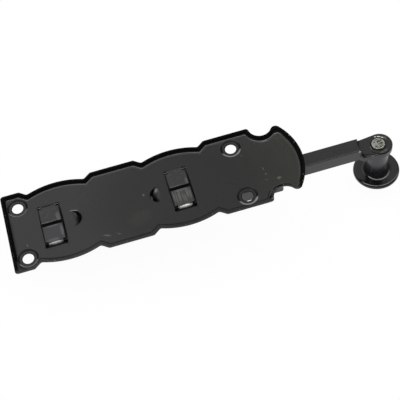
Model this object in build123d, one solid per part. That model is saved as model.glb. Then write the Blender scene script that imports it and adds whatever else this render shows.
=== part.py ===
"""Surface-mounted sliding bolt: pressed back plate, flat shoot in two clinched straps, riveted knob.

Millimetres. X runs along the slide, with the nose of the bolt towards -X and the knob towards +X.
Z points out of the back of the plate, so the door lies above Z = 0 and the knob hangs below.
The origin is the middle of the four screw holes, on the plane of the plate's rim.
"""
from build123d import *
import math
import os

# Back plate: screw holes and outline
hole_pitch_x = 112.0
hole_pitch_y = 30.3
nose_margin = 7.4
side_margin = 8.15
bell_reach = 33.25
outline_radius = 1.6
bell_tip_radius = 2.6

# Back plate: the two scallops in each long edge, an arch between two dips
nose_land = 9.8
middle_land_share = 0.487
scallop_half_length = 18.6
ramp_length = 3.7
dip_depth = 2.8

# Back plate: the bell end behind the two round notches
notch_offset = 15.55
notch_radius = 6.1
notch_inset = 0.6
bell_radius = 33.0

# Back plate: pressed section
sheet = 1.0
rim_depth = 1.5
inside_bend_radius = 2.7
bend_steps = 4

# Back plate: screw holes in round seats that are sunk in the back and stand out on the front
hole_diameter = 5.8
seat_diameter = 10.7
seat_floor_diameter = 8.4
seat_depth = 0.6
hole_land = 0.3
countersink_angle = 90.0

# Back plate: half-moon stops, lanced out of the sheet and bent to the front
nose_stop_offset = 10.45
knob_stop_offset = 10.85
stop_radius = 4.7
stop_gap = 0.3
stop_bend_radius = 0.8
stop_angle = 58.5
lance_gap = 0.15

# Guide straps
nose_strap_offset = 15.15
knob_strap_offset = 30.85
strap_shoulder = 1.75
strap_sheet = 1.2
strap_corner_radius = 1.4
tab_width = 10.5
neck_width = 7.2
tab_notch = 1.9
tab_gap = 1.7
tab_edge_radius = 0.5
slot_side_gap = 0.5
slot_inner_gap = 0.15
slot_outer_gap = 0.05
slot_near_gap = 0.9

# Bolt bar: flat shoot, square tail and pressed eye
shoot_width = 18.5
bar_thickness = 8.4
plate_gap = 5.0
nose_reach = 11.15
shoulder_inset = 12.75
front_round = 0.45
nose_radius = 2.5
shoulder_radius = 1.2
tail_root_radius = 1.0
tail_width = 7.9
tail_edge_radius = 0.5
knob_reach = 41.05
eye_radius = 6.65
eye_offset = 0.85
eye_thickness = 3.9
step_reach = 10.2
step_radius = 11.0
step_draft = 0.9
flare_width = 11.2
flare_reach = 9.2
flare_length = 3.2
flare_root_width = 5.0
eye_edge_radius = 0.6

# Stop pin, pressed into the back of the shoot
pin_diameter = 4.2
pin_gap = 0.6
pin_depth = 4.0
pin_edge_radius = 0.4

# Knob
disc_diameter = 24.5
disc_edge = 2.1
disc_edge_radius = 1.35
disc_front_radius = 0.4
disc_crown = 0.6
shank_diameter = 11.5
shank_length = 18.0
shank_fillet = 2.5
spigot_diameter = 6.0
rivet_overhang = 0.55
rivet_height = 0.65
rivet_edge_radius = 0.35

# Clearances
side_clearance = 1.6
face_clearance = 0.2
stop_clearance = 0.15
seat_clearance = 0.02

# Largest share of a wall that a rounded edge may take
round_share = 0.45

# How near to a stated place a corner or a face has to lie to be found there
finding_range = 0.01

# Levels along Z
floor_back = -rim_depth
floor_front = floor_back - sheet
bend_centre = floor_back + inside_bend_radius
bar_back = floor_front - plate_gap
bar_front = bar_back - bar_thickness
bridge_inner = bar_front - face_clearance
bridge_outer = bridge_inner - strap_sheet
tab_top = floor_back + strap_sheet
eye_back = bar_front + eye_thickness
disc_back = bar_front - shank_length
disc_front = disc_back - disc_edge

# Places along X and Y
half_width = hole_pitch_y / 2 + side_margin
outside_bend_radius = inside_bend_radius + sheet
bend_inset = math.sqrt(outside_bend_radius**2 - bend_centre**2)
nose_end = -hole_pitch_x / 2 - nose_margin
bell_end = hole_pitch_x / 2 + bell_reach
leg_inner = shoot_width / 2 + side_clearance
leg_outer = leg_inner + strap_sheet
hole_places = GridLocations(hole_pitch_x, hole_pitch_y, 2, 2)
strap_centres = (nose_strap_offset - hole_pitch_x / 2, hole_pitch_x / 2 - knob_strap_offset)
stop_roots = (strap_centres[0] + nose_stop_offset, strap_centres[1] - knob_stop_offset)
strap_width = tab_width + 2 * strap_shoulder
stop_drop = plate_gap - stop_gap
nose_x = strap_centres[0] - nose_reach
shoulder_x = bell_end - shoulder_inset
knob_x = bell_end + knob_reach

# Length of a cutter that passes right through the plate
cutter = 4 * (rim_depth + sheet + seat_depth)


def limited(radius, wall):
    """An edge radius that leaves some of a thin wall flat."""
    return min(radius, round_share * wall)


def at(shapes, axis, place):
    """The shapes whose middle lies at a place along an axis."""
    return shapes.filter_by_position(axis, place - finding_range, place + finding_range)


def circles_meet(centre_a, radius_a, centre_b, radius_b):
    """The crossing of two circles that lies nearer the knob, at the greater X."""
    a = Vector(*centre_a)
    b = Vector(*centre_b)
    reach = (b - a).length
    along = (radius_a**2 - radius_b**2 + reach**2) / (2 * reach)
    across = math.sqrt(radius_a**2 - along**2)
    direction = (b - a).normalized()
    foot = a + direction * along
    side = Vector(-direction.Y, direction.X, 0) * across
    return max((foot + side, foot - side), key=lambda point: point.X)


def sharp_outline():
    """The plate's outline with sharp corners: the two long edges mirror each other."""
    notch_centre = (bell_end - notch_offset, half_width - notch_inset)
    bell_centre = (bell_end - bell_radius, 0)
    bell_tip = circles_meet(notch_centre, notch_radius, bell_centre, bell_radius)
    notch_start = notch_centre[0] - math.sqrt(notch_radius**2 - notch_inset**2)
    dip = half_width - dip_depth
    arch_half_length = scallop_half_length - ramp_length
    first_centre = nose_end + nose_land + scallop_half_length
    lands = notch_start - nose_end - nose_land - 4 * scallop_half_length
    second_centre = first_centre + 2 * scallop_half_length + middle_land_share * lands
    with BuildSketch() as outline:
        with BuildLine():
            here = Vector(nose_end, half_width)
            for centre in (first_centre, second_centre):
                edge = Line(here, (centre - scallop_half_length, half_width))
                ramp_in = Line(edge @ 1, (centre - arch_half_length, dip))
                arch = ThreePointArc(ramp_in @ 1, (centre, half_width), (centre + arch_half_length, dip))
                ramp_out = Line(arch @ 1, (centre + scallop_half_length, half_width))
                here = ramp_out @ 1
            last_edge = Line(here, (notch_start, half_width))
            notch_floor = (notch_centre[0], notch_centre[1] - notch_radius)
            ThreePointArc(last_edge @ 1, notch_floor, bell_tip)
            mirror(about=Plane.XZ)
            Line((nose_end, half_width), (nose_end, -half_width))
            ThreePointArc(bell_tip, (bell_end, 0), (bell_tip.X, -bell_tip.Y))
        make_face()
    return outline.sketch


def plate_outline(inset):
    """The plate's outline with round corners, drawn in by an inset."""
    outline = sharp_outline()
    if inset > finding_range:
        outline = offset(outline, -inset, kind=Kind.INTERSECTION)
    outline = fillet(outline.vertices().sort_by(Axis.X)[-2:], bell_tip_radius)
    corners = [v for v in outline.vertices() if v.X < bell_end - notch_offset]
    return fillet(corners, outline_radius)


def bend_body(radius):
    """What the rim's bend encloses at a radius, from the plane of the rim to the flat of the floor."""
    rim_angle = math.acos(bend_centre / radius)
    sections = []
    for step in range(bend_steps + 1):
        angle = rim_angle * (1 - step / bend_steps)
        inset = bend_inset - radius * math.sin(angle)
        level = bend_centre - radius * math.cos(angle)
        sections.append(Pos(0, 0, level) * plate_outline(inset))
    return loft(sections)


def plate_tray():
    """The pressed sheet: a shallow tray, open to the back, with its rim on Z = 0."""
    return bend_body(outside_bend_radius) - bend_body(inside_bend_radius)


def seat_boss():
    """What a sunk screw seat adds on the front of the floor."""
    slope = math.atan2(seat_depth, (seat_diameter - seat_floor_diameter) / 2)
    wall = sheet * math.tan(slope / 2)
    top = seat_diameter / 2 + wall
    align = (Align.CENTER, Align.CENTER, Align.MIN)
    cone = Cone(seat_floor_diameter / 2 + wall, top, seat_depth, align=align)
    root = Cylinder(top, sheet, align=align)
    return Pos(0, 0, floor_front) * root + Pos(0, 0, floor_front - seat_depth) * cone


def seat_cut():
    """The sunk seat, the screw's bore and the countersink that opens to the front."""
    align = (Align.CENTER, Align.CENTER, Align.MIN)
    seat = Cone(seat_floor_diameter / 2, seat_diameter / 2, seat_depth, align=align)
    clear = Cylinder(seat_diameter / 2, rim_depth, align=align)
    bore = Cylinder(hole_diameter / 2, cutter)
    depth = sheet - hole_land
    spread = depth * math.tan(math.radians(countersink_angle / 2))
    sink = Cone(hole_diameter / 2 + spread, hole_diameter / 2, depth, align=align)
    seat_floor = floor_back - seat_depth
    return (
        Pos(0, 0, floor_back) * (bore + clear)
        + Pos(0, 0, seat_floor) * seat
        + Pos(0, 0, seat_floor - sheet) * sink
    )


def stop_reach():
    """How far a bent stop reaches from its root, seen square to the plate."""
    angle = math.radians(stop_angle)
    bend_drop = stop_bend_radius * (1 - math.cos(angle))
    return stop_bend_radius * math.sin(angle) + (stop_drop - bend_drop) / math.tan(angle)


def stop_tongue():
    """One lanced stop with its root at X = 0, pointing to +X and bent to the front."""
    bend_outer = stop_bend_radius + sheet
    reach = stop_reach()
    with BuildSketch(Plane.XZ) as section:
        with BuildLine():
            top = Line((-sheet, floor_back), (0, floor_back))
            bend = CenterArc((0, floor_back - bend_outer), bend_outer, 90, -stop_angle)
            back = PolarLine(bend @ 1, 2 * stop_drop, -stop_angle)
            fall = PolarLine(back @ 1, sheet, -stop_angle - 90)
            inner = CenterArc((0, floor_back - bend_outer), stop_bend_radius, 90 - stop_angle, stop_angle)
            Line(fall @ 1, inner @ 0)
            Line(inner @ 1, (-sheet, floor_front))
            Line((-sheet, floor_front), top @ 0)
        make_face()
    strip = extrude(section.sketch, 2 * stop_radius, both=True)
    with BuildSketch() as plan:
        Ellipse(reach, stop_radius - lance_gap)
        with Locations((-sheet / 2, 0)):
            Rectangle(sheet, 2 * (stop_radius - lance_gap))
        with Locations((-reach - sheet, 0)):
            Rectangle(2 * reach, 4 * stop_radius, mode=Mode.SUBTRACT)
    return strip & extrude(plan.sketch, floor_front - stop_drop - sheet)


def stop_window():
    """The half-moon hole that a stop leaves in the floor."""
    disc = Cylinder(stop_radius, cutter)
    half = Box(2 * stop_radius, 4 * stop_radius, 2 * cutter, align=(Align.MAX, Align.CENTER, Align.CENTER))
    return Pos(0, 0, floor_back) * (disc - half)


def facing(index):
    """Turns a stop so that the two free edges look at each other."""
    return Pos(stop_roots[index], 0, 0) * Rot(0, 0, 180 * index)


def back_plate():
    """The tray with its screw seats, strap slots and lanced stops."""
    plate = plate_tray()
    for place in hole_places:
        plate = plate + place * seat_boss()
    for place in hole_places:
        plate = plate - place * seat_cut()
    slot_inner = leg_inner - slot_inner_gap
    for side, gap in ((-1, slot_near_gap), (1, slot_outer_gap)):
        slot_width = leg_outer + gap - slot_inner
        slot = Box(tab_width + 2 * slot_side_gap, slot_width, cutter)
        for centre in strap_centres:
            plate = plate - Pos(centre, side * (slot_inner + slot_width / 2), floor_back) * slot
    for index in range(len(stop_roots)):
        plate = plate - facing(index) * stop_window()
        plate = plate + facing(index) * stop_tongue()
    return plate


def strap_bridge():
    """Bridge and legs of a strap at X = 0, standing on the front of the plate."""
    with BuildSketch(Plane.YZ) as section:
        with Locations((0, floor_front)):
            Rectangle(2 * leg_outer, floor_front - bridge_outer, align=(Align.CENTER, Align.MAX))
        fillet(section.vertices().group_by(Axis.Y)[0], strap_corner_radius + strap_sheet)
    with BuildSketch(Plane.YZ) as hollow:
        with Locations((0, floor_front)):
            Rectangle(2 * leg_inner, floor_front - bridge_inner, align=(Align.CENTER, Align.MAX))
        fillet(hollow.vertices().group_by(Axis.Y)[0], strap_corner_radius)
    return extrude(section.sketch - hollow.sketch, strap_width / 2, both=True)


def strap_tab():
    """A neck through the slot on the +Y side, bent over inwards into a tab on the back of the floor."""
    bend_start = leg_outer - tab_notch
    with BuildSketch(Plane.YZ) as section:
        with Locations((leg_inner, floor_front)):
            Rectangle(strap_sheet, tab_top - floor_front, align=(Align.MIN, Align.MIN))
        with Locations((bend_start - strap_sheet, floor_back)):
            Rectangle(leg_outer - bend_start + strap_sheet, strap_sheet, align=(Align.MIN, Align.MIN))
        fillet(section.vertices().group_by(Axis.X)[-1].sort_by(Axis.Y)[-1], strap_sheet)
    neck = extrude(section.sketch, neck_width / 2, both=True)
    tab_length = bend_start - tab_gap / 2
    tab = Box(tab_width, tab_length, strap_sheet, align=(Align.CENTER, Align.MIN, Align.MIN))
    tab = fillet(tab.faces().sort_by(Axis.Z)[-1].edges(), limited(tab_edge_radius, strap_sheet))
    return neck + Pos(0, tab_gap / 2, floor_back) * tab


def guide_strap():
    """A strap at X = 0: bridge and legs on the front, necks through the plate, tabs clinched on the back."""
    tab = strap_tab()
    return strap_bridge() + tab + mirror(tab, about=Plane.XZ)


def stop_tip(index):
    """Where the free edge of a stop stands along X."""
    return stop_roots[index] + (1 - 2 * index) * stop_reach()


def pin_x():
    """The pin at rest: the bolt is drawn back, with the pin against the stop on the knob's side."""
    return stop_tip(1) - stop_clearance - pin_diameter / 2


def shoot_plan():
    """The shoot and the tail seen square to the plate. The tail runs on to the knob's axis, under the eye."""
    with BuildSketch() as plan:
        with Locations((nose_x, 0)):
            Rectangle(shoulder_x - nose_x, shoot_width, align=(Align.MIN, Align.CENTER))
        fillet(plan.vertices().group_by(Axis.X)[0], nose_radius)
        fillet(plan.vertices().group_by(Axis.X)[-1], shoulder_radius)
        with Locations((shoulder_x, 0)):
            Rectangle(2 * (knob_x - shoulder_x), tail_width)
        tail_roots = at(plan.vertices(), Axis.X, shoulder_x)
        fillet(tail_roots.sort_by(lambda corner: abs(corner.Y))[:2], tail_root_radius)
    return plan.sketch


def eye_plan():
    """The flattened eye seen square to the plate: it flares out of the tail and ends round."""
    flare_x = knob_x - flare_reach
    with BuildSketch() as flare:
        with Locations((flare_x - flare_length, 0)):
            Rectangle(2 * tail_edge_radius, flare_root_width)
        with Locations((flare_x, 0)):
            Rectangle(2 * tail_edge_radius, flare_width)
        make_hull()
    with BuildSketch() as teardrop:
        with Locations((knob_x + eye_offset, 0)):
            Circle(eye_radius)
        with Locations((flare_x, 0)):
            Rectangle(2 * tail_edge_radius, flare_width)
        make_hull()
    return flare.sketch + teardrop.sketch


def bolt_bar():
    """Shoot, tail and eye, forged from one bar, with the back of the eye pressed down by a round die."""
    bar = Pos(0, 0, bar_front) * extrude(shoot_plan(), bar_thickness)
    align = (Align.CENTER, Align.CENTER, Align.MIN)
    die = Cone(step_radius, step_radius + step_draft, bar_back - eye_back, align=align)
    bar = bar - Pos(knob_x - step_reach + step_radius, 0, eye_back) * die
    bar = fillet(at(bar.faces(), Axis.Z, bar_back).edges(), tail_edge_radius)
    eye = Pos(0, 0, bar_front) * extrude(eye_plan(), eye_thickness)
    eye = fillet(eye.faces().sort_by(Axis.Z)[-1].edges(), limited(eye_edge_radius, eye_thickness))
    bar = bar + eye
    bar = fillet(bar.faces().sort_by(Axis.Z)[0].edges(), limited(front_round, eye_thickness))
    spigot_bore = Cylinder(spigot_diameter / 2 + seat_clearance, 2 * bar_thickness)
    pin_bore = Cylinder(
        pin_diameter / 2 + seat_clearance, pin_depth, align=(Align.CENTER, Align.CENTER, Align.MAX)
    )
    return bar - Pos(knob_x, 0, eye_back) * spigot_bore - Pos(pin_x(), 0, bar_back) * pin_bore


def stop_pin():
    """The pin that runs between the two lanced stops."""
    length = pin_depth + plate_gap - pin_gap
    pin = Cylinder(pin_diameter / 2, length, align=(Align.CENTER, Align.CENTER, Align.MIN))
    pin = fillet(pin.edges().sort_by(Axis.Z)[-1], limited(pin_edge_radius, pin_diameter / 2))
    return Pos(pin_x(), 0, bar_back - pin_depth) * pin


def corners(section, place):
    """The corners of a section at a place along X, from the lowest to the highest."""
    return at(section.vertices(), Axis.X, place).sort_by(Axis.Y)


def pull_knob():
    """A turned knob: crowned disc, shank, and a spigot peened over on the back of the eye."""
    spigot = spigot_diameter / 2
    shank = shank_diameter / 2
    disc = disc_diameter / 2
    rivet = spigot + rivet_overhang
    rivet_top = eye_back + rivet_height
    edge_rounds = min(disc_edge_radius + disc_front_radius, 2 * round_share * disc_edge)
    disc_front_share = disc_front_radius / (disc_edge_radius + disc_front_radius)
    crown = disc_front - disc_crown
    crown_radius = (disc**2 + disc_crown**2) / (2 * disc_crown)
    crown_angle = math.degrees(math.asin(disc / crown_radius))
    with BuildSketch(Plane.XZ) as section:
        with BuildLine():
            head = Polyline((0, rivet_top), (rivet, rivet_top), (rivet, eye_back), (spigot, eye_back))
            neck = Line(head @ 1, (spigot, bar_front))
            seat = Line(neck @ 1, (shank, bar_front))
            outside = Polyline(seat @ 1, (shank, disc_back), (disc, disc_back), (disc, disc_front))
            face = CenterArc((0, crown + crown_radius), crown_radius, -90, crown_angle)
            Line(face @ 0, head @ 0)
        make_face()
        fillet(corners(section, rivet)[-1], limited(rivet_edge_radius, rivet_height))
        fillet(corners(section, shank)[0], limited(shank_fillet, disc - shank))
        fillet(corners(section, disc)[0], disc_front_share * edge_rounds)
        fillet(corners(section, disc)[-1], (1 - disc_front_share) * edge_rounds)
    return Pos(knob_x, 0, 0) * revolve(section.sketch, Axis.Z)


def main():
    """Writes one STEP file for each piece."""
    os.makedirs("parts", exist_ok=True)
    strap = guide_strap()
    pieces = {
        "back_plate": back_plate(),
        "nose_guide_strap": Pos(strap_centres[0], 0, 0) * strap,
        "knob_guide_strap": Pos(strap_centres[1], 0, 0) * strap,
        "bolt_bar": bolt_bar(),
        "stop_pin": stop_pin(),
        "pull_knob": pull_knob(),
    }
    for name, piece in pieces.items():
        export_step(piece, f"parts/{name}.step")


main()
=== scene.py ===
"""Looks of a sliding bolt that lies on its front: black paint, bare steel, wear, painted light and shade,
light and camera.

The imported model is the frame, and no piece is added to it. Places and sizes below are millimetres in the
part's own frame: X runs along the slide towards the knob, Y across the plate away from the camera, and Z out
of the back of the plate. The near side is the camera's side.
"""

import logging
import math
from dataclasses import dataclass, replace
from enum import Enum
from typing import Any, Optional, Union

import bpy
from mathutils import Matrix, Vector

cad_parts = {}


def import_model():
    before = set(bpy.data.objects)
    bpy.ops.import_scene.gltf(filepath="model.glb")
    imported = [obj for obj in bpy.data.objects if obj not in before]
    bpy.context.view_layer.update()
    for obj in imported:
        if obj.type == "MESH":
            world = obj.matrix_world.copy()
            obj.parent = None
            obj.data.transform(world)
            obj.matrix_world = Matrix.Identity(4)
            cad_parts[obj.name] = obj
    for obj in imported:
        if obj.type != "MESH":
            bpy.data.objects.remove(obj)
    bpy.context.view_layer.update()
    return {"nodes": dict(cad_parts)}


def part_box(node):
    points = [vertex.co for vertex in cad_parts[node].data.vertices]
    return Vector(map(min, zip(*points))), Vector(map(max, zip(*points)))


MM = 0.001
log = logging.getLogger("sliding_bolt")

# Further than the part reaches, for a mark that has no limit on a side, and a level above all of it.
EVERYWHERE = 1000.0
ABOVE = 1.0
# The levels of the plate's floor and of the straps' tabs, seen from the back.
FLOOR = -1.5
TAB_BACK = -0.3

# A Mix node's sockets by number, because its numbers and its colours have the same names.
NUMBER_A, NUMBER_B, NUMBER_OUT = 2, 3, 0
COLOUR_A, COLOUR_B, COLOUR_OUT = 6, 7, 2

# How the edges of worn and painted places fade: the share of a spot that is covered right through, the share
# of a ring's half width that fades, the depth in Y over which a near ring ends, and the noise's step at a
# fleck's edge.
SPOT_CORE = 0.45
RING_FADE = 0.6
NEAR_FADE = 1.5
FLECK_EDGE = 0.08
# A stretch of Z so long that a distance taken after it leaves Z out.
FLATTENED = 1e6
# Half depth of a mark on a flat surface, and the size of the noise that frays all edges.
MARK_DEPTH = 0.5
FRAY_GRAIN = 0.625
# The part of a noise's range that matters, because it seldom comes near 0 or 1.
NOISE_LOW, NOISE_HIGH = 0.3, 0.7

Sockets = dict[Any, Any]
Triple = tuple[float, float, float]
Pairs = tuple[tuple[float, float], ...]
# A mark: its X and Y, its half length along X, its half width along Y and its turn in degrees.
Mark = tuple[float, float, float, float, float]


def linear(hex_colour: str) -> tuple[float, float, float, float]:
    """Turns an sRGB hex colour into linear light, by the standard's own curve.

    Args:
        hex_colour: six hex digits after a hash sign.

    Returns:
        Linear red, green and blue, with an alpha of 1.
    """
    channels = [int(hex_colour[i : i + 2], 16) / 255 for i in (1, 3, 5)]
    light = [c / 12.92 if c <= 0.04045 else ((c + 0.055) / 1.055) ** 2.4 for c in channels]
    return (light[0], light[1], light[2], 1.0)


def add_node(tree: bpy.types.NodeTree, kind: str, inputs: Optional[Sockets] = None, **settings: Any) -> Any:
    """Adds a shader node with its settings, its values and its links.

    Args:
        tree: the node tree that gets the node.
        kind: the node's type name, without the ShaderNode in front.
        inputs: socket name or number to a value, or to the output socket that feeds it.
        settings: attributes of the node itself.

    Returns:
        The new node.
    """
    node = tree.nodes.new("ShaderNode" + kind)
    for name, value in settings.items():
        setattr(node, name, value)
    for key, value in (inputs or {}).items():
        if isinstance(value, bpy.types.NodeSocket):
            tree.links.new(value, node.inputs[key])
        else:
            node.inputs[key].default_value = value
    return node


class Coat(Enum):
    """What a marked place shows: paint, as grime and painted light and shade do, or the steel itself."""

    PAINT = 0.0
    STEEL = 1.0


@dataclass(frozen=True)
class Spot:
    """A place for wear and for painted light and shade, with a soft ragged edge: its middle, its half sizes,
    its turn about Z and how it frays.
    """

    centre: Triple
    half: Triple
    turn_deg: float = 0.0
    fray: float = 0.5

    def moved(self, along: float) -> "Spot":
        """Gives the same spot further along X."""
        return replace(self, centre=(self.centre[0] + along, self.centre[1], self.centre[2]))

    def mask(self, tree: bpy.types.NodeTree, place: Any, grain: Any) -> Any:
        """Makes the place's mask.

        Args:
            tree: the material's node tree.
            place: socket with the place on the piece, in mm.
            grain: socket with a noise from 0 to 1 that frays the edge.

        Returns:
            A socket that is 1 inside and 0 outside.
        """
        local = add_node(
            tree,
            "Mapping",
            {
                "Vector": place,
                "Location": self.centre,
                "Rotation": (0, 0, math.radians(self.turn_deg)),
                "Scale": self.half,
            },
            vector_type="TEXTURE",
        )
        distance = add_node(tree, "VectorMath", {0: local.outputs[0]}, operation="LENGTH")
        frayed = add_node(
            tree,
            "Math",
            {0: grain, 1: self.fray * 2, 2: distance.outputs["Value"]},
            operation="MULTIPLY_ADD",
        )
        return add_node(
            tree,
            "MapRange",
            {
                "Value": frayed.outputs[0],
                "From Min": 1.0 + self.fray,
                "From Max": SPOT_CORE + self.fray,
            },
            interpolation_type="SMOOTHSTEP",
        ).outputs[0]


@dataclass(frozen=True)
class Ring:
    """A ring about an upright axis for wear and for painted light and shade, whole or its near part.

    Fields give its middle, its radius, its half width, how frayed it is, how far it goes up and down from
    the middle, and the Y that it stays on the near side of.
    """

    centre: Triple
    radius: float
    half_width: float
    fray: float
    half_depth: float
    near_of: float = EVERYWHERE

    def mask(self, tree: bpy.types.NodeTree, place: Any, grain: Any) -> Any:
        """Makes the ring's mask; see Spot.mask."""
        split = add_node(tree, "SeparateXYZ", {0: place})
        local = add_node(
            tree,
            "Mapping",
            {"Vector": place, "Location": self.centre, "Scale": (1.0, 1.0, FLATTENED)},
            vector_type="TEXTURE",
        )
        distance = add_node(tree, "VectorMath", {0: local.outputs[0]}, operation="LENGTH")
        off = add_node(
            tree, "Math", {0: distance.outputs["Value"], 1: self.radius}, operation="SUBTRACT"
        )
        away = add_node(tree, "Math", {0: off.outputs[0]}, operation="ABSOLUTE")
        frayed = add_node(
            tree,
            "Math",
            {0: grain, 1: self.fray * 2 * self.half_width, 2: away.outputs[0]},
            operation="MULTIPLY_ADD",
        )
        edge = self.half_width * (1 + self.fray)
        ring = add_node(
            tree,
            "MapRange",
            {
                "Value": frayed.outputs[0],
                "From Min": edge,
                "From Max": edge - RING_FADE * self.half_width,
            },
            interpolation_type="SMOOTHSTEP",
        )
        level = add_node(
            tree,
            "Math",
            {0: split.outputs["Z"], 1: self.centre[2], 2: self.half_depth},
            operation="COMPARE",
        )
        near = add_node(
            tree,
            "MapRange",
            {
                "Value": split.outputs["Y"],
                "From Min": self.near_of,
                "From Max": self.near_of - NEAR_FADE,
            },
            interpolation_type="SMOOTHSTEP",
        )
        whole = add_node(
            tree, "Math", {0: ring.outputs[0], 1: level.outputs[0]}, operation="MULTIPLY"
        )
        return add_node(
            tree, "Math", {0: whole.outputs[0], 1: near.outputs[0]}, operation="MULTIPLY"
        ).outputs[0]


@dataclass(frozen=True)
class Levels:
    """All that lies between two levels, whole or in flecks.

    Fields give the two levels and the depths over which the mark fades below and above them, the share of
    the noise that is left out of the flecks, the size of the flecks, and the span of Y that has the mark.
    """

    low: float
    high: float
    fade: float
    fade_high: float = 0.05
    left_out: float = 0.0
    fleck: float = 1.0
    span: tuple[float, float] = (-EVERYWHERE, EVERYWHERE)

    def mask(self, tree: bpy.types.NodeTree, place: Any, grain: Any) -> Any:
        """Makes the levels' mask; see Spot.mask, though the noise here is the levels' own."""
        split = add_node(tree, "SeparateXYZ", {0: place})
        middle, half = sum(self.span) / 2, (self.span[1] - self.span[0]) / 2
        parts = [
            add_node(
                tree,
                "MapRange",
                {"Value": split.outputs["Z"], "From Min": start, "From Max": end},
                interpolation_type="SMOOTHSTEP",
            )
            for start, end in (
                (self.low - self.fade, self.low),
                (self.high + self.fade_high, self.high),
            )
        ]
        parts.append(
            add_node(tree, "Math", {0: split.outputs["Y"], 1: middle, 2: half}, operation="COMPARE")
        )
        if self.left_out:
            noise = add_node(
                tree, "TexNoise", {"Vector": place, "Scale": 1 / self.fleck, "Detail": 3.0}
            )
            parts.append(
                add_node(
                    tree,
                    "MapRange",
                    {
                        "Value": noise.outputs["Fac"],
                        "From Min": self.left_out,
                        "From Max": self.left_out + FLECK_EDGE,
                    },
                    interpolation_type="SMOOTHSTEP",
                )
            )
        band = parts[0].outputs[0]
        for part in parts[1:]:
            band = add_node(
                tree, "Math", {0: band, 1: part.outputs[0]}, operation="MULTIPLY"
            ).outputs[0]
        return band


Place = Union[Spot, Ring, Levels]


@dataclass(frozen=True)
class WearAndPaintedLight:
    """One kind of mark laid on the paint, for wear and for painted light and shade, and the places that have
    it.

    Fields give its colour, how strongly it covers the paint, its roughness, its gloss as a specular level,
    the places and whether they show steel.
    """

    colour: str
    cover: float
    roughness: float
    gloss: float
    places: tuple[Place, ...]
    coat: Coat = Coat.PAINT

    def mask(self, tree: bpy.types.NodeTree, place: Any, grain: Any) -> Any:
        """Joins the masks of all the places; see Spot.mask."""
        joined = self.places[0].mask(tree, place, grain)
        for worn in self.places[1:]:
            joined = add_node(
                tree, "Math", {0: joined, 1: worn.mask(tree, place, grain)}, operation="MAXIMUM"
            ).outputs[0]
        return add_node(tree, "Math", {0: joined, 1: self.cover}, operation="MULTIPLY").outputs[0]


def painted_shade(*places: Place) -> WearAndPaintedLight:
    """Painted shade: a black, dull coat laid in slots, gaps and corners where shade falls."""
    return WearAndPaintedLight(colour="#030303", cover=0.95, roughness=0.6, gloss=0.03, places=places)


def bare_steel(colour: str, cover: float, *places: Place, roughness: float = 0.4) -> WearAndPaintedLight:
    """Steel where the paint is rubbed or chipped off, also laid for painted glints: grey and bright, with a
    soft mirror.

    Args:
        colour: the steel's colour.
        cover: how strongly it shows through the paint.
        places: where it shows.
        roughness: how rough it is.

    Returns:
        The wear.
    """
    return WearAndPaintedLight(
        colour=colour,
        cover=cover,
        roughness=roughness,
        gloss=0.5,
        places=places,
        coat=Coat.STEEL,
    )


def spots(
    marks: tuple[Mark, ...], level: float, start_x: float = 0.0, fray: float = 0.5
) -> tuple[Spot, ...]:
    """Makes marked places that lie on one level.

    Args:
        marks: the marks, each as Mark says.
        level: the level that they lie on.
        start_x: what their X counts from.
        fray: how frayed they are.

    Returns:
        The marked places.
    """
    return tuple(
        Spot((start_x + x, y, level), (half_x, half_y, MARK_DEPTH), turn, fray)
        for x, y, half_x, half_y, turn in marks
    )


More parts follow.
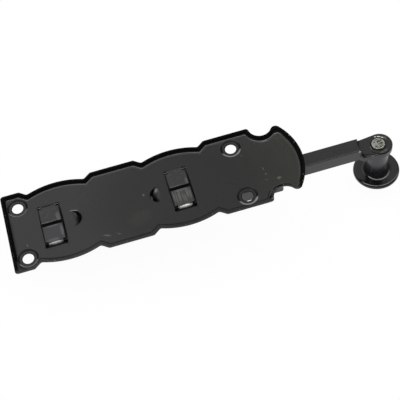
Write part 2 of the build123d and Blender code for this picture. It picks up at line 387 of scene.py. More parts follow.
@dataclass(frozen=True)
class BlackPaint:
    """Black stoving paint on steel: nearly black, seen by its even gloss, with a faint pebbled skin.

    Fields give the paint's tone at the nose end and at the knob end, its roughness and how much that varies,
    the pebble and blotch sizes, the height of the pebbles, the gloss and IOR of a paint, the stretch of X
    over which the tone changes, how far the blotches sway it, and the wear and the painted light and shade on
    top.
    """

    name: str
    tone_nose: str
    tone_knob: str
    roughness: float
    roughness_spread: float = 0.03
    pebble: float = 0.9
    pebble_height: float = 0.002
    blotch: float = 16.0
    gloss: float = 0.5
    ior: float = 1.5
    tone_span: tuple[float, float] = (-60.0, 140.0)
    tone_sway: float = 32.0
    wear_and_light: tuple[WearAndPaintedLight, ...] = ()

    def tone(self, tree: bpy.types.NodeTree, place: Any, blotches: Any) -> Any:
        """Mixes the paint's tone along the part, a little uneven.

        Args:
            tree: the material's node tree.
            place: socket with the place on the piece, in mm.
            blotches: socket with a broad noise from 0 to 1.

        Returns:
            A colour socket.
        """
        split = add_node(tree, "SeparateXYZ", {0: place})
        swayed = add_node(
            tree,
            "Math",
            {0: blotches, 1: self.tone_sway, 2: split.outputs["X"]},
            operation="MULTIPLY_ADD",
        )
        along = add_node(
            tree,
            "MapRange",
            {
                "Value": swayed.outputs[0],
                "From Min": self.tone_span[0],
                "From Max": self.tone_span[1],
            },
        )
        return add_node(
            tree,
            "Mix",
            {
                "Factor": along.outputs[0],
                COLOUR_A: linear(self.tone_nose),
                COLOUR_B: linear(self.tone_knob),
            },
            data_type="RGBA",
        ).outputs[COLOUR_OUT]

    def lay_wear_and_light(self, tree: bpy.types.NodeTree, place: Any, colour: Any, rough: Any) -> Sockets:
        """Lays the wear and the painted light and shade over the paint.

        Args:
            tree: the material's node tree.
            place: socket with the place on the piece, in mm.
            colour: colour socket of the whole paint.
            rough: roughness socket of the whole paint.

        Returns:
            The shader's inputs that these marks change, by name.
        """
        gloss: Any = self.gloss
        metallic: Any = Coat.PAINT.value
        shows_steel = any(wear.coat is Coat.STEEL for wear in self.wear_and_light)
        grain = add_node(
            tree,
            "TexNoise",
            {"Vector": place, "Scale": 1 / FRAY_GRAIN, "Detail": 4.0, "Roughness": 0.7},
        )
        for wear in self.wear_and_light:
            mask = wear.mask(tree, place, grain.outputs["Fac"])
            colour = add_node(
                tree,
                "Mix",
                {"Factor": mask, COLOUR_A: colour, COLOUR_B: linear(wear.colour)},
                data_type="RGBA",
            ).outputs[COLOUR_OUT]
            rough = add_node(
                tree, "Mix", {"Factor": mask, NUMBER_A: rough, NUMBER_B: wear.roughness}
            ).outputs[NUMBER_OUT]
            gloss = add_node(
                tree, "Mix", {"Factor": mask, NUMBER_A: gloss, NUMBER_B: wear.gloss}
            ).outputs[NUMBER_OUT]
            if shows_steel:
                metallic = add_node(
                    tree, "Mix", {"Factor": mask, NUMBER_A: metallic, NUMBER_B: wear.coat.value}
                ).outputs[NUMBER_OUT]
        return {
            "Base Color": colour,
            "Roughness": rough,
            "Specular IOR Level": gloss,
            "Metallic": metallic,
        }

    def material(self) -> bpy.types.Material:
        """Builds the paint's material."""
        made = bpy.data.materials.new(self.name)
        made.use_nodes = True
        tree = made.node_tree
        tree.nodes.clear()
        coords = add_node(tree, "TexCoord")
        place = add_node(
            tree, "VectorMath", {0: coords.outputs["Object"], "Scale": 1 / MM}, operation="SCALE"
        ).outputs[0]
        blotches = add_node(
            tree,
            "TexNoise",
            {"Vector": place, "Scale": 1 / self.blotch, "Detail": 3.0, "Roughness": 0.6},
        ).outputs["Fac"]
        pebbles = add_node(
            tree,
            "TexNoise",
            {"Vector": place, "Scale": 1 / self.pebble, "Detail": 2.0, "Roughness": 0.5},
        )
        rough = add_node(
            tree,
            "MapRange",
            {
                "Value": blotches,
                "From Min": NOISE_LOW,
                "From Max": NOISE_HIGH,
                "To Min": self.roughness - self.roughness_spread,
                "To Max": self.roughness + self.roughness_spread,
            },
        )
        bump = add_node(
            tree,
            "Bump",
            {
                "Height": pebbles.outputs["Fac"],
                "Distance": self.pebble_height * MM,
                "Strength": 1.0,
            },
        )
        colour = self.tone(tree, place, blotches)
        inputs = self.lay_wear_and_light(tree, place, colour, rough.outputs[0])
        shader = add_node(
            tree, "BsdfPrincipled", {**inputs, "Normal": bump.outputs[0], "IOR": self.ior}
        )
        add_node(tree, "OutputMaterial", {"Surface": shader.outputs[0]})
        return made


def dress(node: bpy.types.Object, material: bpy.types.Material) -> None:
    """Gives a piece one material all over.

    Args:
        node: the piece.
        material: its finish.
    """
    node.data.materials.clear()
    node.data.materials.append(material)
    log.info("%s dressed in %s", node.name, material.name)


@dataclass
class PlateAssembly:
    """The back plate and the two straps clinched to it.

    The first fields give where the straps, the screw holes and the stops stand, the place of the near folds
    and the level of the seats. Then come the Y that the near and the far rim begin at, the level that the
    bend starts from, and the radii and half widths of the seats' rings. The rest are places of wear and of
    painted light and shade: on the straps and round their slots in X from the strap's middle, on the plate
    in the part's own X.
    """

    nose_strap_x: float = -40.85
    knob_strap_x: float = 25.15
    fold_y: float = -11.45
    fold_level: float = -0.65
    hole_x: float = 56.0
    hole_y: float = 15.15
    seat_level: float = -1.8
    seat_half_depth: float = 0.4
    nose_stop_x: float = -30.4
    knob_stop_x: float = 14.3
    near_side: float = -16.0
    far_side: float = 14.0
    bend_foot: float = -1.47
    seat_walls: Pairs = ((4.75, 0.75), (3.1, 0.4))
    seat_lip_radius: float = 4.8
    seat_lip_near: float = 1.2
    # Near corners of the rim that get the rim's painted shade.
    rim_shade_corners: tuple[Spot, ...] = (
        Spot((-63.0, -18.5, -0.4), (1.9, 6.0, 1.6), 0, 0.1),
        Spot((83.6, -17.5, -0.3), (2.2, 4.4, 1.25), -34, 0.1),
        Spot((67.2, -19.6, -0.8), (3.0, 1.0, 1.3), 33, 0.1),
    )
    thin_middle: Spot = Spot((24.0, -2.0, FLOOR), (60.0, 40.0, 4.0), 0, 0.15)
    scuffs: tuple[Mark, ...] = (
        (-16.0, -15.0, 2.6, 0.6, -22),
        (-10.0, -16.0, 1.2, 0.35, -20),
        (-55.0, -8.0, 0.45, 0.9, 0),
        (74.0, -10.0, 1.5, 1.0, 0),
        (68.0, -2.2, 0.4, 1.3, 6),
        (68.4, -5.6, 0.6, 0.6, 0),
        (67.6, -9.0, 1.0, 0.35, 0),
        (60.0, 9.0, 0.5, 0.5, 0),
        (6.7, 2.1, 0.7, 1.0, 0),
    )
    smudges: tuple[Mark, ...] = ((2.0, -10.5, 8.0, 5.0, 15), (80.0, 14.0, 2.8, 2.0, 0))
    # Painted shade on the floor by each strap: in the gap between the tabs, along the tabs' sides and at the
    # slots' far corners.
    slot_shade: tuple[Spot, ...] = (
        Spot((0.0, 0.0, FLOOR), (4.2, 2.4, 0.9), 0, 0.1),
        Spot((-3.4, 0.0, FLOOR), (3.2, 2.4, 0.9), 0, 0.1),
        Spot((3.4, 0.0, FLOOR), (3.2, 2.4, 0.9), 0, 0.1),
        Spot((5.6, -1.0, FLOOR), (0.75, 16.0, 0.6), 0, 0.15),
        Spot((-5.4, -1.0, FLOOR), (0.4, 15.0, 0.6), 0, 0.15),
        Spot((-4.7, 11.2, FLOOR - 0.3), (1.7, 1.5, 2.0), 0, 0.15),
        Spot((4.7, 11.2, FLOOR - 0.3), (1.7, 1.5, 2.0), 0, 0.15),
    )
    tab_middle: Spot = Spot((0.0, -5.8, TAB_BACK), (7.5, 7.0, MARK_DEPTH), 0, 0.2)
    # Rubbed edges of the tabs from each strap's middle; the thin mark at Y 1.15, along the far tab's end, is
    # a painted highlight.
    nose_rubs_and_highlights: tuple[Mark, ...] = (
        (4.2, -5.4, 1.0, 4.6, 0),
        (0.0, -1.5, 4.6, 0.8, 0),
        (-1.0, -9.6, 4.0, 1.0, 0),
        (3.8, 3.2, 1.3, 3.4, 0),
        (-1.8, 1.15, 3.6, 0.35, 0),
    )
    knob_rubs_and_highlights: tuple[Mark, ...] = (
        (-2.4, 1.15, 2.6, 0.35, 0),
        (4.2, 3.0, 0.9, 2.6, 0),
        (0.0, -1.7, 4.6, 0.9, 0),
        (4.0, -5.0, 0.8, 4.2, 0),
    )
    knob_streaks: tuple[Mark, ...] = (
        (-4.1, -4.6, 0.5, 4.2, 3),
        (-3.0, -5.8, 0.4, 5.4, 0),
        (-1.5, -5.2, 0.9, 5.0, -2),
        (0.3, -6.0, 0.4, 4.0, 2),
        (1.3, -7.2, 0.5, 3.4, 4),
        (2.7, -4.4, 0.8, 4.0, 0),
    )
    # Painted shade in the slots' corners beside the necks.
    neck_corner_shade: tuple[Spot, ...] = (
        Spot((-4.9, -11.2, FLOOR - 0.4), (1.4, 1.6, 3.6), 0, 0.15),
        Spot((-4.9, 11.4, FLOOR - 0.4), (1.4, 1.3, 3.6), 0, 0.15),
        Spot((4.9, -11.2, FLOOR - 0.4), (1.4, 1.6, 3.6), 0, 0.15),
        Spot((4.9, 11.4, FLOOR - 0.4), (1.4, 1.3, 3.6), 0, 0.15),
    )
    # Painted shade at the far tabs' notched corners.
    far_notch_shade: tuple[Spot, ...] = (
        Spot((-4.7, 10.1, TAB_BACK), (1.5, 0.8, 0.9), 0, 0.2),
        Spot((4.7, 10.1, TAB_BACK), (1.5, 0.8, 0.9), 0, 0.2),
    )
    # Painted shade along the far fold, laid on the nose strap only.
    far_fold_shade: Spot = Spot((0.0, 10.7, TAB_BACK), (6.0, 0.35, 0.9), 0, 0.6)
    # Painted shade on the necks in the near slots, where the shaded space under the plate would show.
    near_gap_shade: tuple[Spot, ...] = (
        Spot((-3.2, -12.2, -2.1), (3.4, 1.3, 1.25), 0, 0.1),
        Spot((-1.1, -12.2, -2.1), (3.4, 1.3, 1.25), 0, 0.1),
        Spot((1.1, -12.2, -2.1), (3.4, 1.3, 1.25), 0, 0.1),
        Spot((3.2, -12.2, -2.1), (3.4, 1.3, 1.25), 0, 0.1),
    )

    def at_straps(self, *places: Spot) -> tuple[Spot, ...]:
        """Repeats worn places, given from a strap's middle, at both straps."""
        return tuple(spot.moved(x) for x in (self.nose_strap_x, self.knob_strap_x) for spot in places)

    def bend_light_and_shade(self) -> tuple[WearAndPaintedLight, ...]:
        """Painted light and shade along the bend between the floor and the rim.

        Returns:
            A painted matt grey that lightens the foot of the far bend, a painted highlight line along all but
            the near one, and painted shade on the near one.
        """
        far = (self.far_side, EVERYWHERE)
        all_but_near = (self.near_side, EVERYWHERE)
        near = (-EVERYWHERE, self.near_side)
        return (
            # Painted light: a matt grey at the foot of the far bend.
            WearAndPaintedLight(
                colour="#2B2B2B",
                cover=0.85,
                roughness=0.45,
                gloss=0.12,
                places=(Levels(self.bend_foot, high=-1.34, fade=0.02, fade_high=0.05, span=far),),
            ),
            # Painted highlight: a light line along the bend.
            WearAndPaintedLight(
                colour="#3A3A3E",
                cover=0.8,
                roughness=0.28,
                gloss=0.3,
                places=(Levels(low=-1.27, high=-1.22, fade=0.05, span=all_but_near),),
            ),
            # Painted shade along the foot of the near bend.
            WearAndPaintedLight(
                colour="#070707",
                cover=0.75,
                roughness=0.5,
                gloss=0.08,
                places=(Levels(self.bend_foot, high=-1.36, fade=0.02, fade_high=0.08, span=near),),
            ),
        )

    def rim_shade_and_chipping(self) -> tuple[WearAndPaintedLight, ...]:
        """Painted shade on the rim, a dull near-black coat all round but for the near edge, and a few chipped
        flecks on that and on the ends.

        Returns:
            The painted shade and the chipped flecks.
        """
        far = (self.far_side, EVERYWHERE)
        ends = (self.near_side, self.far_side)
        all_but_far = (-EVERYWHERE, self.far_side)
        return (
            # Painted shade: a dull near-black coat on the ends, the far rim and the near corners.
            WearAndPaintedLight(
                colour="#040404",
                cover=0.97,
                roughness=0.5,
                gloss=0.03,
                places=(
                    Levels(low=-1.2, high=ABOVE, fade=0.12, span=ends),
                    Levels(low=-1.12, high=ABOVE, fade=0.1, span=far),
                    *self.rim_shade_corners,
                ),
            ),
            WearAndPaintedLight(
                colour="#B4B4AC",
                cover=0.8,
                roughness=0.5,
                gloss=0.5,
                places=(Levels(low=-0.3, high=ABOVE, fade=0.12, left_out=0.66, span=all_but_far),),
            ),
        )

    def seat_shade_and_highlights(self) -> tuple[WearAndPaintedLight, ...]:
        """Painted shade and highlights of the screw seats.

        Returns:
            Painted shade on the walls, and painted highlights on the near lips, which are stronger at the
            knob end.
        """
        seats = [(x, y) for x in (-self.hole_x, self.hole_x) for y in (-self.hole_y, self.hole_y)]
        # Painted shade: dark rings on the seats' walls.
        walls = WearAndPaintedLight(
            colour="#070708",
            cover=0.9,
            roughness=0.5,
            gloss=0.08,
            places=tuple(
                Ring(
                    (x, y, self.seat_level),
                    radius,
                    half_width,
                    fray=0.15,
                    half_depth=self.seat_half_depth,
                )
                for x, y in seats
                for radius, half_width in self.seat_walls
            ),
        )
        # Painted highlights: light arcs on the seats' near lips.
        lips = (
            WearAndPaintedLight(
                colour="#B0B0B2",
                cover=cover,
                roughness=0.35,
                gloss=0.6,
                places=tuple(
                    Ring(
                        (x, y, self.seat_level),
                        self.seat_lip_radius,
                        half_width,
                        fray=0.7,
                        half_depth=self.seat_half_depth,
                        near_of=y - self.seat_lip_near,
                    )
                    for x, y in seats
                    if x * end > 0
                ),
            )
            for end, cover, half_width in ((-1, 0.3, 0.5), (1, 0.5, 0.65))
        )
        return (walls, *lips)

    def stop_light_and_shade(self) -> tuple[WearAndPaintedLight, ...]:
        """Painted light and shade on the two lanced stops.

        Returns:
            Painted light on the slopes, a matt grey that hides the line at their root, painted highlights on
            the lips, and painted shade in the windows.
        """
        nose, knob = self.nose_stop_x, self.knob_stop_x
        return (
            # Painted light: a matt grey on the slopes near their root.
            WearAndPaintedLight(
                colour="#363638",
                cover=0.85,
                roughness=0.6,
                gloss=0.1,
                places=(
                    Spot((nose + 0.6, 0.0, -2.0), (2.0, 5.4, 1.9), 0, 0.15),
                    Spot((knob - 0.7, 1.0, -2.0), (1.7, 4.2, 1.9), 0, 0.15),
                ),
            ),
            # Painted highlights on the stops' lips.
            WearAndPaintedLight(
                colour="#8C8C8A",
                cover=0.5,
                roughness=0.45,
                gloss=0.4,
                places=(
                    Spot((nose + 1.5, 4.5, FLOOR), (2.6, 0.5, 0.4), -14, 0.3),
                    Spot((knob - 0.9, 3.0, -2.2), (1.2, 1.8, 1.4), 0, 0.3),
                ),
            ),
            # Painted shade in the windows.
            WearAndPaintedLight(
                colour="#040404",
                cover=0.95,
                roughness=0.5,
                gloss=0.04,
                places=(
                    Spot((nose + 4.6, 0.0, -3.9), (3.7, 7.0, 2.9), 0, 0.1),
                    Spot((knob - 4.6, 0.0, -3.9), (3.7, 7.0, 2.9), 0, 0.1),
                ),
            ),
        )

    def floor_wear(self) -> tuple[WearAndPaintedLight, ...]:
        """The floor's wear: faint olive smudges and grey scuffs."""
        return (
            WearAndPaintedLight(
                colour="#5A5A42",
                cover=0.05,
                roughness=0.4,
                gloss=0.5,
                places=spots(self.smudges, FLOOR),
            ),
            WearAndPaintedLight(
                colour="#74746C",
                cover=0.3,
                roughness=0.5,
                gloss=0.4,
                places=spots(self.scuffs, FLOOR),
            ),
        )

    def plate_paint(self) -> BlackPaint:
        """Paint of the plate: painted shade in its hollows and slots, painted highlights along the bend, on
        the seats' lips and the stops, and scuffs on the floor.
        """
        # Stoved satin paint mirrors the tent softly, so the floor shows as an even dark grey. It is thinner
        # over the middle and the knob end, where it looks browner and a little duller.
        thin = WearAndPaintedLight(
            colour="#0B0B0A", cover=0.75, roughness=0.27, gloss=0.4, places=(self.thin_middle,)
        )
        return BlackPaint(
            "satin_black_paint_plate",
            tone_nose="#141416",
            tone_knob="#17170E",
            roughness=0.26,
            wear_and_light=(
                thin,
                *self.bend_light_and_shade(),
                *self.rim_shade_and_chipping(),
                *self.seat_shade_and_highlights(),
                # Painted shade on the floor round the straps.
                painted_shade(*self.at_straps(*self.slot_shade)),
                *self.stop_light_and_shade(),
                *self.floor_wear(),
            ),
        )

    def tab_marks_and_highlights(self) -> tuple[WearAndPaintedLight, ...]:
        """Marks on the tabs' flat backs, with a painted highlight along each far tab's end.

        Returns:
            Lighter flecks over the backs, stronger in the middle of the near tabs; rubbed edges with a
            painted highlight along each far tab's end; and streaks on the near tab of the knob strap.
        """
        nose, knob = self.nose_strap_x, self.knob_strap_x
        flecks = Levels(
            low=TAB_BACK - 0.2, high=0.0, fade=0.1, left_out=0.52, fleck=1.3, span=(-11.0, 11.0)
        )
        return (
            WearAndPaintedLight(
                colour="#4A4A4E",
                cover=0.16,
                roughness=0.4,
                gloss=0.5,
                places=(flecks, *self.at_straps(self.tab_middle)),
            ),
            # Rubbed edges, with a painted highlight along each far tab's end.
            WearAndPaintedLight(
                colour="#6A6A6E",
                cover=0.3,
                roughness=0.42,
                gloss=0.5,
                places=spots(self.nose_rubs_and_highlights, TAB_BACK, nose) + spots(self.knob_rubs_and_highlights, TAB_BACK, knob),
            ),
            WearAndPaintedLight(
                colour="#8A8A80",
                cover=0.2,
                roughness=0.45,
                gloss=0.5,
                places=spots(self.knob_streaks, TAB_BACK, knob, fray=0.8),
            ),
        )

    def strap_paint(self) -> BlackPaint:
        """Paint of the straps: bare along the near folds, rubbed and with painted highlights at the tabs'
        edges, and painted shade in the corners, the gaps and along the far fold.
        """
        # The same satin paint on folded strip, a little rougher. Where a fold is rubbed bare it catches the
        # top of the tent as a white streak.
        nose_fold = (self.nose_strap_x - 0.1, self.fold_y, self.fold_level)
        knob_fold = (self.knob_strap_x, self.fold_y, self.fold_level)
        return BlackPaint(
            "satin_black_paint_straps",
            tone_nose="#161618",
            tone_knob="#161612",
            roughness=0.3,
            wear_and_light=(
                *self.tab_marks_and_highlights(),
                # Painted shade in the necks' corners, at the far notches and fold, and in the near gaps.
                painted_shade(*self.at_straps(*self.neck_corner_shade)),
                painted_shade(*self.at_straps(*self.far_notch_shade), self.far_fold_shade.moved(self.nose_strap_x)),
                bare_steel("#C9C7C0", 0.42, Spot(nose_fold, (4.2, 0.9, 0.9), 0, 0.8)),
                bare_steel("#DAD8D2", 0.7, Spot(knob_fold, (4.2, 0.9, 1.0), 0, 0.7)),
                painted_shade(*self.at_straps(*self.near_gap_shade)),
            ),
        )

    def build(self, nodes: dict[str, bpy.types.Object]) -> None:
        """Dresses the plate and the straps.

        Args:
            nodes: the pieces of the frame by name.
        """
        dress(nodes["back_plate"], self.plate_paint().material())
        strap = self.strap_paint().material()
        dress(nodes["nose_guide_strap"], strap)
        dress(nodes["knob_guide_strap"], strap)


@dataclass
class BoltAssembly:
    """The sliding bar with its pin and its riveted knob.

    The first fields give the knob's axis along X, the levels of the eye's back, of the rivet's rim and of the
    tail's back, and the rivet's radius and half depth. Then come places of wear and of painted light and
    shade: the levels of the shank and of the fillet at its root, which gets painted shade, the olive marks in
    the part's own X, and the painted light by the step in X from the knob's axis.
    """

    knob_x: float = 130.3
    eye_level: float = -12.0
    rivet_level: float = -11.35
    tail_level: float = -7.5
    rivet_radius: float = 3.55
    rivet_half_depth: float = 0.8
    shank: tuple[float, float] = (-31.0, -13.0)
    # Levels of the fillet at the shank's root, which gets painted shade.
    root: tuple[float, float] = (-33.3, -32.6)
    olive: tuple[Mark, ...] = (
        (132.6, -4.8, 1.6, 0.6, 20),
        (130.4, -5.3, 1.4, 0.5, 0),
        (135.0, 2.6, 0.8, 1.6, 20),
        (126.0, -1.0, 0.4, 1.6, 0),
    )
    # Painted light: a grey that lightens the dark corner where the step meets the near side.
    step_painted_light: Spot = Spot((-9.6, -4.3, -10.0), (1.2, 1.2, 1.8), 0, 0.2)

    def eye_shade_lines(self) -> WearAndPaintedLight:
        """Painted shade on the eye: dark lines along the step of the die, its near edge and the slope beside
        it.
        """
        x, eye = self.knob_x, self.eye_level
        step = Ring((x + 0.8, 0.0, -9.9), radius=11.2, half_width=1.05, fray=0.15, half_depth=2.3)
        near_edge = Ring(
            (x + 0.85, 0.0, eye - 0.3),
            radius=6.35,
            half_width=0.35,
            fray=0.3,
            half_depth=0.6,
            near_of=-2.5,
        )
        slope = Spot((x - 6.6, -4.8, eye), (4.2, 0.42, 0.6), -20, 0.2)
        return WearAndPaintedLight(
            colour="#050505",
            cover=0.9,
            roughness=0.5,
            gloss=0.05,
            places=(step, near_edge, slope),
        )

    def chips_and_glints(self) -> WearAndPaintedLight:
        """Bare bright steel: a crescent beyond the rivet, a painted glint at the tail's near edge and a
        painted highlight line along the eye's near edge.
        """
        x, eye = self.knob_x, self.eye_level
        return bare_steel(
            "#E0DED6",
            0.95,
            Spot((x + 0.2, 4.9, eye), (0.8, 0.4, 0.6), 0, 0.3),
            Spot((x + 1.9, 4.5, eye), (1.2, 0.36, 0.6), -24, 0.3),
            Spot((x + 3.4, 3.4, eye), (1.1, 0.33, 0.6), -45, 0.3),
            # A painted glint, laid as bare steel.
            Spot((x - 11.5, -3.9, self.tail_level - 0.8), (0.6, 0.5, 0.5), 0, 0.2),
            # A painted highlight line along the eye's near edge, laid as bare steel.
            Spot((x - 4.8, -6.05, eye - 0.1), (1.4, 0.16, 0.3), -7, 0.3),
        )

    def bar_paint(self) -> BlackPaint:
        """Paint of the bar: painted shade round the rivet, at the step and along the eye's edge, painted
        light beside the step, bare chipped spots and painted glints.
        """
        # Satin paint on a forging, so that its flats mirror the tent as the plate's floor does. The bare
        # steel spots and painted glints are small and bright, and the olive marks are matt.
        # Painted shade: a dark ring round the foot of the rivet.
        rivet_foot_shade = Ring(
            (self.knob_x, 0.0, self.eye_level),
            self.rivet_radius + 0.4,
            half_width=0.35,
            fray=0.3,
            half_depth=self.rivet_half_depth,
        )
        return BlackPaint(
            "satin_black_paint_bar",
            tone_nose="#121213",
            tone_knob="#121213",
            roughness=0.26,
            wear_and_light=(
                WearAndPaintedLight(
                    colour="#74735C",
                    cover=0.35,
                    roughness=0.5,
                    gloss=0.4,
                    places=spots(self.olive, self.eye_level),
                ),
                # Painted light beside the step.
                WearAndPaintedLight(
                    colour="#77777A",
                    cover=0.4,
                    roughness=0.5,
                    gloss=0.4,
                    places=(self.step_painted_light.moved(self.knob_x),),
                ),
                WearAndPaintedLight(colour="#080808", cover=0.9, roughness=0.5, gloss=0.1, places=(rivet_foot_shade,)),
                self.eye_shade_lines(),
                self.chips_and_glints(),
            ),
        )

    def knob_paint(self) -> BlackPaint:
        """Paint of the knob: rougher on the shank, painted shade at its root, bare and mottled on the peened
        end.
        """
        # Semi-gloss paint on a turning, so that the disc's edge draws a thin bright line. The peened end is
        # bare steel, pitted dark by the hammer, with a polished rim.
        base = self.eye_level - 0.05
        rim = Ring(
            (self.knob_x, 0.0, self.rivet_level),
            self.rivet_radius - 0.5,
            half_width=0.24,
            fray=0.6,
            half_depth=self.rivet_half_depth,
        )
        end = Levels(low=base, high=0.0, fade=0.04)
        pits = replace(end, left_out=0.47, fleck=0.85)
        return BlackPaint(
            "semi_gloss_black_paint_knob",
            tone_nose="#101012",
            tone_knob="#101012",
            roughness=0.15,
            wear_and_light=(
                WearAndPaintedLight(
                    colour="#1A1920",
                    cover=1.0,
                    roughness=0.25,
                    gloss=0.55,
                    places=(Levels(*self.shank, fade=2.0),),
                ),
                # Painted shade: a dull near-black band in the fillet at the shank's root.
                WearAndPaintedLight(
                    colour="#0A0A0B",
                    cover=0.9,
                    roughness=0.5,
                    gloss=0.08,
                    places=(Levels(*self.root, fade=0.25, fade_high=2.4),),
                ),
                bare_steel("#8C8B84", 1.0, end, roughness=0.45),
                bare_steel("#24231F", 0.9, pits, roughness=0.6),
                bare_steel("#A9A8A1", 0.9, rim),
            ),
        )

    @staticmethod
    def pin_finish() -> BlackPaint:
        """Drawn steel given a dull dark colour, as nothing bright shows there."""
        return BlackPaint(
            "drawn_steel_pin", tone_nose="#2E2E2C", tone_knob="#2E2E2C", roughness=0.45
        )

    def build(self, nodes: dict[str, bpy.types.Object]) -> None:
        """Dresses the bar, the pin and the knob.

        Args:
            nodes: the pieces of the frame by name.
        """
        dress(nodes["bolt_bar"], self.bar_paint().material())
        dress(nodes["stop_pin"], self.pin_finish().material())
        dress(nodes["pull_knob"], self.knob_paint().material())


@dataclass(frozen=True)
class View:
    """The camera: what it looks at, from which side and how far off, its roll, its lens and its clips."""

    target: Triple = (32.76, -10.78, -0.2)
    azimuth_deg: float = -7.21
    elevation_deg: float = 56.93
    roll_deg: float = -9.78
    distance: float = 531.96
    lens_mm: float = 96.75
    sensor_mm: float = 36.0
    clips: tuple[float, float] = (10.0, 10000.0)

    def build(self) -> bpy.types.Object:
        """Makes the camera and hands it to the scene."""
        data = bpy.data.cameras.new("camera")
        data.lens = self.lens_mm
        data.sensor_width = self.sensor_mm
        data.clip_start, data.clip_end = (clip * MM for clip in self.clips)
        camera = bpy.data.objects.new("camera", data)
        bpy.context.scene.collection.objects.link(camera)
        azimuth = math.radians(self.azimuth_deg)
        elevation = math.radians(self.elevation_deg)
        back = Vector(
            (
                math.sin(azimuth) * math.cos(elevation),
                -math.cos(azimuth) * math.cos(elevation),
                math.sin(elevation),
            )
        )
        place = (Vector(self.target) + back * self.distance) * MM
        turn = (-back).to_track_quat("-Z", "Y").to_matrix().to_4x4()
        roll = Matrix.Rotation(math.radians(self.roll_deg), 4, "Z")
        camera.matrix_world = Matrix.Translation(place) @ turn @ roll
        bpy.context.scene.camera = camera
        return camera


@dataclass(frozen=True)
class Softbox:
    """A rectangular studio lamp that looks at a point of the part."""

    name: str
    place: Triple
    target: Triple
    width: float
    height: float
    radiance: float

    def build(self) -> bpy.types.Object:
        """Makes the lamp, with its power worked out from its radiance and its area."""
        data = bpy.data.lights.new(self.name, "AREA")
        data.shape = "RECTANGLE"
        data.size = self.width * MM
        data.size_y = self.height * MM
        data.energy = self.radiance * math.pi * data.size * data.size_y
        lamp = bpy.data.objects.new(self.name, data)
        bpy.context.scene.collection.objects.link(lamp)
        look = Vector(self.target) - Vector(self.place)
        turn = look.to_track_quat("-Z", "Y").to_matrix().to_4x4()
        lamp.matrix_world = Matrix.Translation(Vector(self.place) * MM) @ turn
        return lamp


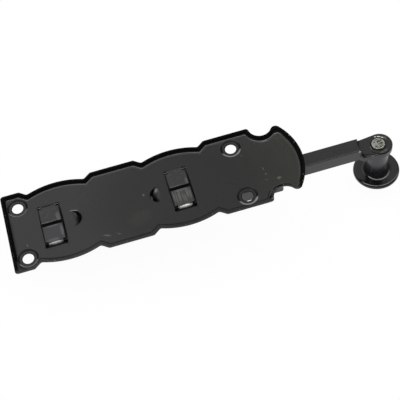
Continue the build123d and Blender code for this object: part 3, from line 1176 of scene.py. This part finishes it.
@dataclass(frozen=True)
class Studio:
    """White table, and a white tent that is open, and so dim, on the camera's side.

    Fields give the table's size, how far it lies below where the part would rest, its colour and the share
    of it that glows to the eye; the strength of the backdrop, of the even light and of the tent where it is
    brightest; the tent's share of that by the Y and by the X of a direction; and the lamps.
    """

    table_reach: float = 3000.0
    table_drop: float = 4.4
    table_colour: str = "#F4F4F4"
    table_glow: float = 0.95
    backdrop: float = 1.0
    surroundings: float = 1.15
    tent_peak: float = 8.0
    tent_over: Pairs = (
        (-1.0, 0.06),
        (-0.72, 0.06),
        (-0.55, 0.006),
        (-0.34, 0.008),
        (-0.22, 0.35),
        (-0.12, 1.0),
        (0.02, 1.0),
        (0.12, 0.35),
        (0.25, 0.14),
        (0.42, 0.105),
        (1.0, 0.115),
    )
    tent_along: Pairs = (
        (-1.0, 0.25),
        (-0.7, 0.4),
        (-0.35, 0.9),
        (-0.1, 0.9),
        (0.02, 0.76),
        (0.12, 0.78),
        (0.25, 0.9),
        (0.5, 0.6),
        (0.9, 0.2),
    )
    lamps: tuple[Softbox, ...] = (
        Softbox(
            "far_softbox",
            place=(-160, 420, 620),
            target=(0, 0, 0),
            width=520,
            height=380,
            radiance=0.3,
        ),
    )

    def table_lie(self) -> tuple[Vector, float]:
        """Finds how the table lies under the part, which leans on its nose strap and its knob.

        The table lies a little lower, so that the knob clears it when the bolt is shot.

        Returns:
            A point of the table under the nose strap and the table's fall towards the knob, in radians.
        """
        strap_low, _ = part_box("nose_guide_strap")
        knob_low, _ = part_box("pull_knob")
        fall = math.atan2(strap_low.z - knob_low.z, knob_low.x - strap_low.x)
        return Vector((strap_low.x, 0.0, strap_low.z - self.table_drop * MM)), fall

    def table_material(self) -> bpy.types.Material:
        """White card: matt, so it keeps the part's soft shadow, and glowing enough to stay white."""
        made = bpy.data.materials.new("white_card")
        made.use_nodes = True
        tree = made.node_tree
        tree.nodes.clear()
        path = add_node(tree, "LightPath")
        seen = path.outputs["Is Camera Ray"]
        for ray in ("Is Glossy Ray", "Is Transmission Ray"):
            seen = add_node(
                tree, "Math", {0: seen, 1: path.outputs[ray]}, operation="MAXIMUM"
            ).outputs[0]
        share = add_node(tree, "Math", {0: seen, 1: self.table_glow}, operation="MULTIPLY")
        card = add_node(tree, "BsdfDiffuse", {"Color": linear(self.table_colour)})
        glow = add_node(tree, "Emission", {"Strength": self.backdrop})
        top = add_node(
            tree, "MixShader", {0: share.outputs[0], 1: card.outputs[0], 2: glow.outputs[0]}
        )
        # Clear from below, so that a view from there shows the front of the part.
        side = add_node(tree, "NewGeometry")
        clear = add_node(tree, "BsdfTransparent")
        whole = add_node(
            tree,
            "MixShader",
            {0: side.outputs["Backfacing"], 1: top.outputs[0], 2: clear.outputs[0]},
        )
        add_node(tree, "OutputMaterial", {"Surface": whole.outputs[0]})
        return made

    def build_table(self) -> bpy.types.Object:
        """Lays the table under the part."""
        place, fall = self.table_lie()
        bpy.ops.object.select_all(action="DESELECT")
        bpy.ops.mesh.primitive_plane_add(
            size=self.table_reach * MM, location=place, rotation=(0, fall, 0)
        )
        table = bpy.context.object
        table.name = "table"
        table.data.materials.append(self.table_material())
        return table

    @staticmethod
    def profile(tree: bpy.types.NodeTree, part: Any, stops: Pairs) -> Any:
        """Turns one part of a direction, from -1 to 1, into a share of the tent's brightness.

        Args:
            tree: the world's node tree.
            part: socket with that part of the direction.
            stops: pairs of a value of it and the share there.

        Returns:
            A socket with the share.
        """
        spread = add_node(tree, "MapRange", {"Value": part, "From Min": -1.0, "From Max": 1.0})
        ramp = add_node(tree, "ValToRGB", {"Fac": spread.outputs[0]})
        points = ramp.color_ramp.elements
        points.remove(points[0])
        for index, (value, share) in enumerate(stops):
            position = (value + 1) / 2
            point = points.new(position) if index else points[0]
            point.position = position
            point.color = (share, share, share, 1.0)
        return ramp.outputs["Color"]

    def tent(self, tree: bpy.types.NodeTree) -> Any:
        """Makes the tent's brightness by direction: a bright top, a paler far side, dim towards the camera.

        Args:
            tree: the world's node tree.

        Returns:
            A socket with the brightness.
        """
        direction = add_node(
            tree, "SeparateXYZ", {0: add_node(tree, "TexCoord").outputs["Generated"]}
        )
        over = self.profile(tree, direction.outputs["Y"], self.tent_over)
        along = self.profile(tree, direction.outputs["X"], self.tent_along)
        both = add_node(tree, "Math", {0: over, 1: along}, operation="MULTIPLY")
        return add_node(
            tree, "Math", {0: both.outputs[0], 1: self.tent_peak}, operation="MULTIPLY"
        ).outputs[0]

    def build_surroundings(self) -> None:
        """White to the eye, the tent in reflections, and an even soft light on all else."""
        world = bpy.data.worlds.new("surroundings")
        world.use_nodes = True
        tree = world.node_tree
        tree.nodes.clear()
        path = add_node(tree, "LightPath")
        plain = add_node(
            tree,
            "Math",
            {0: path.outputs["Is Camera Ray"], 1: path.outputs["Is Transmission Ray"]},
            operation="MAXIMUM",
        )
        lit = add_node(
            tree,
            "Mix",
            {
                "Factor": path.outputs["Is Glossy Ray"],
                NUMBER_A: self.surroundings,
                NUMBER_B: self.tent(tree),
            },
        )
        strength = add_node(
            tree,
            "Mix",
            {
                "Factor": plain.outputs[0],
                NUMBER_A: lit.outputs[NUMBER_OUT],
                NUMBER_B: self.backdrop,
            },
        )
        light = add_node(
            tree,
            "Background",
            {"Color": (1, 1, 1, 1), "Strength": strength.outputs[NUMBER_OUT]},
        )
        add_node(tree, "OutputWorld", {"Surface": light.outputs[0]})
        bpy.context.scene.world = world

    def build(self) -> None:
        """Sets up the table, the surroundings and the lamps."""
        self.build_table()
        self.build_surroundings()
        for lamp in self.lamps:
            lamp.build()
        bpy.context.scene.view_settings.view_transform = "Standard"


def main() -> None:
    """Loads the frame, dresses each piece and sets the stage."""
    logging.basicConfig(level=logging.INFO, format="%(name)s: %(message)s")
    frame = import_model()
    nodes = frame["nodes"]
    PlateAssembly().build(nodes)
    BoltAssembly().build(nodes)
    Studio().build()
    View().build()


if __name__ == "__main__":
    main()
